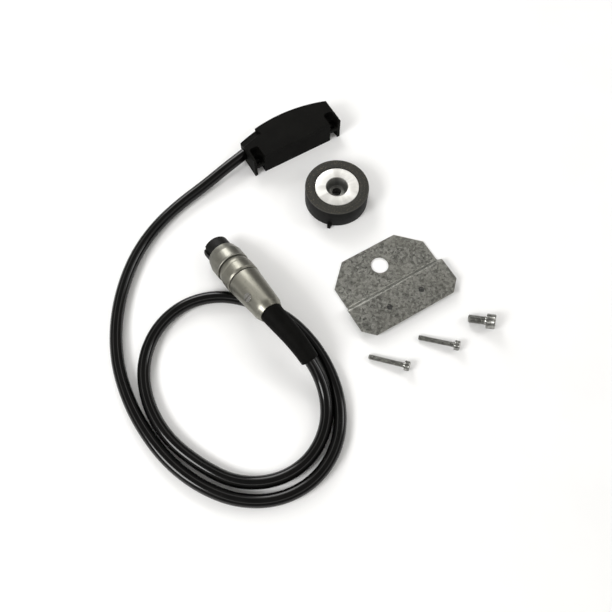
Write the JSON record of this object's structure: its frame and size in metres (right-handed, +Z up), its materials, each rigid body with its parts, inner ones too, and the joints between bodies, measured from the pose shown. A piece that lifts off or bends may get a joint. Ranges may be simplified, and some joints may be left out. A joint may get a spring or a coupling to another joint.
{
  "type": "magnetic rotary encoder kit",
  "caption": "Magnetic rotary encoder kit: low sensor head with cable and round screw-locking connector, magnet wheel with hub, joggled sheet plate and cap screws.",
  "frame": {"origin": "axis of the magnet wheel at its underside, where the shaft seat opens", "axes": "+Z up along the wheel's axis, +X along the sensor head towards the end away from the cable, +Y from the wheel to the sensor head"},
  "size_m": [0.2019, 0.207, 0.0287],
  "materials": {
    "magnet_black": "matte",
    "hub_aluminium": "turned",
    "core_steel": "turned",
    "head_plastic": "fine matte",
    "board_green": "satin",
    "chip_black": "matte",
    "capacitor_tan": "matte",
    "wire_insulation": "gloss",
    "crimp_brass": "satin",
    "cable_jacket": "semi-gloss",
    "boot_rubber": "matte",
    "insert_plastic": "matte",
    "contact_gilt": "satin",
    "satin_nickel": "satin nickel",
    "bright_nickel": "polished",
    "washer_plastic": "gloss",
    "gasket_rubber": "matte",
    "zinc_sheet": "dull zinc",
    "zinc_screw": "zinc"
  },
  "bodies": {
    "sensor_and_cable": {"head_housing": "head_plastic", "head_base_cover": "head_plastic", "sensor_board": "board_green", "hall_sensors": "chip_black", "line_driver_chip": "chip_black", "board_capacitors": "capacitor_tan", "head_wires": "wire_insulation", "cable_crimp": "crimp_brass", "cable": "cable_jacket", "cable_boot": "boot_rubber", "contact_insert": "insert_plastic", "contact_sockets": "contact_gilt", "insert_carrier": "satin_nickel", "friction_washer": "washer_plastic", "clamp_sleeve": "satin_nickel", "shell_gasket": "gasket_rubber", "back_shell": "satin_nickel", "cable_saddle": "satin_nickel", "clamp_screw": "bright_nickel", "connector_wires": "wire_insulation"},
    "coupling_ring": {"coupling_ring": "satin_nickel"},
    "magnet_wheel": {"magnet_ring": "magnet_black", "wheel_hub": "hub_aluminium", "hub_core": "core_steel"},
    "plate": {"sheet_plate": "zinc_sheet"},
    "hub_screw": {"hub_screw": "zinc_screw"},
    "head_screw_1": {"head_screw_1": "zinc_screw"},
    "head_screw_2": {"head_screw_2": "zinc_screw"}
  },
  "joints": [
    {"name": "coupling_ring_turn", "type": "hinge", "parent": "sensor_and_cable", "child": "coupling_ring", "pos_m": [-0.07965, -0.01046, 0.01093], "axis": [-0.0948, 0.9673, -0.2351], "continuous": true},
    {"name": "wheel_turn", "type": "hinge", "parent": "sensor_and_cable", "child": "magnet_wheel", "pos_m": [0, 0, 0], "axis": [0, 0, 1], "continuous": true},
    {"name": "plate_lift", "type": "slide", "parent": "sensor_and_cable", "child": "plate", "axis": [0, 0, 1], "range_m": [0, 0.03]},
    {"name": "hub_screw_lift", "type": "slide", "parent": "sensor_and_cable", "child": "hub_screw", "axis": [0, 0, 1], "range_m": [0, 0.03]},
    {"name": "head_screw_1_lift", "type": "slide", "parent": "sensor_and_cable", "child": "head_screw_1", "axis": [0, 0, 1], "range_m": [0, 0.03]},
    {"name": "head_screw_2_lift", "type": "slide", "parent": "sensor_and_cable", "child": "head_screw_2", "axis": [0, 0, 1], "range_m": [0, 0.03]}
  ]
}
